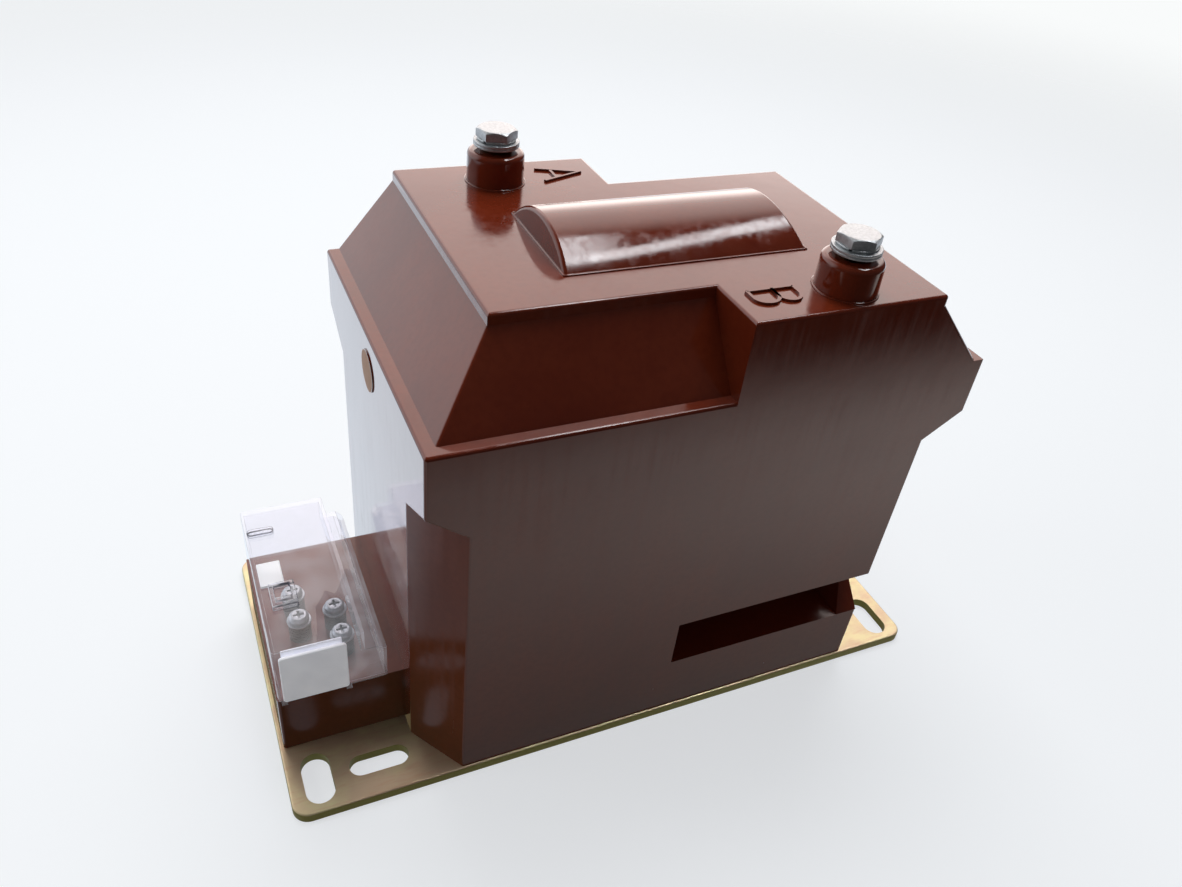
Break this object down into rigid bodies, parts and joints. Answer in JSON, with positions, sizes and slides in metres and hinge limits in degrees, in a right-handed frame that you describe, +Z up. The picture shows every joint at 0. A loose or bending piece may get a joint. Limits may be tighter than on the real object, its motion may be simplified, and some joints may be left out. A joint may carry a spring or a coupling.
{
  "type": "cast resin voltage transformer",
  "caption": "Indoor cast resin voltage transformer: brown epoxy block on a slotted steel foot plate, bolt terminals on top, clear covered terminal box at one end.",
  "frame": {"origin": "centre of the base plate's underside, which is the bottom centre of the whole part's box", "axes": "+X along the length of the base plate, away from the low voltage terminal box; +Y across the plate, from the front face with the creepage pocket to the back; +Z up, from the plate towards the high voltage terminals"},
  "size_m": [0.355, 0.178, 0.2654],
  "materials": {
    "epoxy_resin": "glossy cast epoxy resin, dark red-brown",
    "passivated_steel": "yellow zinc-passivated steel plate",
    "zinc_steel": "bright zinc-plated steel",
    "terminal_brass": "turned brass",
    "terminal_brass_plated": "brass, nickel plated",
    "clear_plastic": "clear moulded plastic, faint violet edges",
    "white_plastic": "white moulded plastic",
    "core_steel": "grain-oriented silicon steel strip",
    "core_strap": "steel strap",
    "pressboard": "electrical pressboard",
    "copper_coil": "enamelled copper wire in layers, brass stands in for copper",
    "copper_lead": "enamelled copper wire, brass stands in for copper"
  },
  "bodies": {
    "root": {"resin_casting": "epoxy_resin", "base_plate": "passivated_steel", "hv_washer_lower_a": "zinc_steel", "hv_washer_upper_a": "zinc_steel", "hv_spring_washer_a": "zinc_steel", "hv_bolt_a": "zinc_steel", "hv_washer_lower_b": "zinc_steel", "hv_washer_upper_b": "zinc_steel", "hv_spring_washer_b": "zinc_steel", "hv_bolt_b": "zinc_steel", "lv_posts": "terminal_brass_plated", "lv_washers": "zinc_steel", "lv_screws": "zinc_steel", "terminal_cover": "clear_plastic", "front_blanking_plate": "white_plastic", "seal_tongue": "white_plastic", "seal_eyelet": "clear_plastic", "cover_catch": "clear_plastic", "core_half_left": "core_steel", "core_half_right": "core_steel", "core_band": "core_strap", "winding_former": "pressboard", "secondary_winding_1": "copper_coil", "secondary_winding_2": "copper_coil", "barrier_tube": "pressboard", "primary_winding": "copper_coil", "hv_lead_a": "copper_lead", "hv_lead_b": "copper_lead", "lv_leads": "copper_lead", "hv_insert_a": "terminal_brass", "hv_insert_b": "terminal_brass", "foot_screws": "zinc_steel", "foot_inserts": "terminal_brass"}
  },
  "joints": []
}
